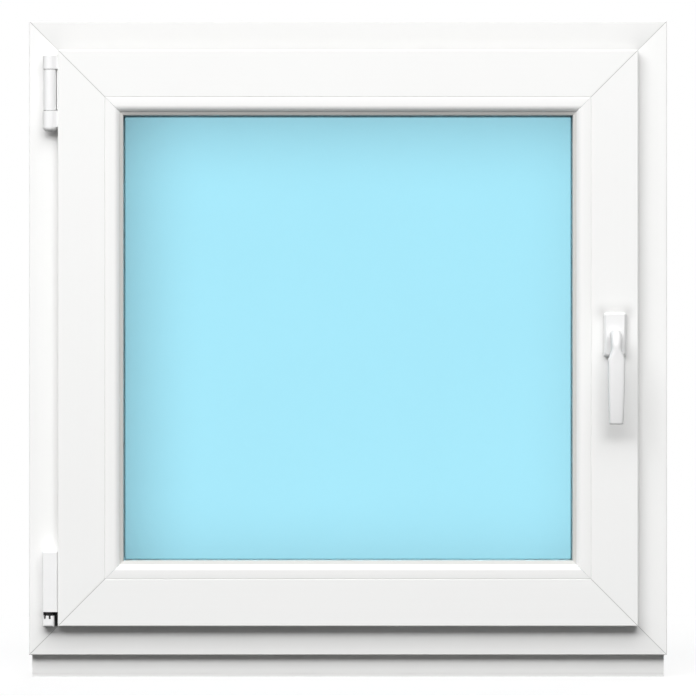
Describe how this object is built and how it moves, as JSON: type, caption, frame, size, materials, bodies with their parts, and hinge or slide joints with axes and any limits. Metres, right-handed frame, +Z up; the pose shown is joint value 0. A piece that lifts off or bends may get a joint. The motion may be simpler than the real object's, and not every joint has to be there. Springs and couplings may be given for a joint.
{
  "type": "tilt and turn window",
  "caption": "White plastic tilt and turn window, closed: a welded square frame on a base profile, a glazed sash with rounded beads, hinges on the left and a lever handle on the right.",
  "frame": {"origin": "middle of the base profile's bottom face", "axes": "+Z up, +X to the right as seen from the room, +Y from the room towards the outside"},
  "size_m": [0.8, 0.1405, 0.823],
  "materials": {
    "white_plastic": "smooth semi-gloss white",
    "outer_rubber": "matt light grey",
    "inner_rubber": "matt pale grey",
    "clear_glass": "smooth pale cyan",
    "spacer_metal": "pale mill",
    "block_plastic": "matt",
    "hinge_enamel": "satin white",
    "dark_steel": "burnished dark",
    "handle_enamel": "satin white"
  },
  "bodies": {
    "window": {"frame_bottom_rail": "white_plastic", "frame_head": "white_plastic", "frame_left_jamb": "white_plastic", "frame_right_jamb": "white_plastic", "sash_bottom_rail": "white_plastic", "sash_top_rail": "white_plastic", "sash_left_stile": "white_plastic", "sash_right_stile": "white_plastic", "bead_bottom": "white_plastic", "bead_top": "white_plastic", "bead_left": "white_plastic", "bead_right": "white_plastic", "base_profile": "white_plastic", "drain_cap_left": "white_plastic", "drain_cap_right": "white_plastic", "frame_seal": "outer_rubber", "sash_seal": "inner_rubber", "inner_glass_seal": "inner_rubber", "outer_glass_seal": "outer_rubber", "inner_pane": "clear_glass", "outer_pane": "clear_glass", "pane_spacer": "spacer_metal", "glazing_blocks": "block_plastic", "top_hinge_band": "hinge_enamel", "top_hinge_bearing": "hinge_enamel", "top_hinge_pin": "dark_steel", "bottom_hinge_cover": "hinge_enamel", "bottom_hinge_plate": "dark_steel", "bottom_hinge_pivot": "hinge_enamel", "bottom_hinge_pin": "dark_steel", "handle_rose": "handle_enamel"},
    "handle": {"handle_lever": "handle_enamel"}
  },
  "joints": [
    {"name": "handle_turn", "type": "hinge", "parent": "window", "child": "handle", "pos_m": [0.3335, -0.052, 0.43], "axis": [0, 1, 0], "range_deg": [0, 180]}
  ]
}
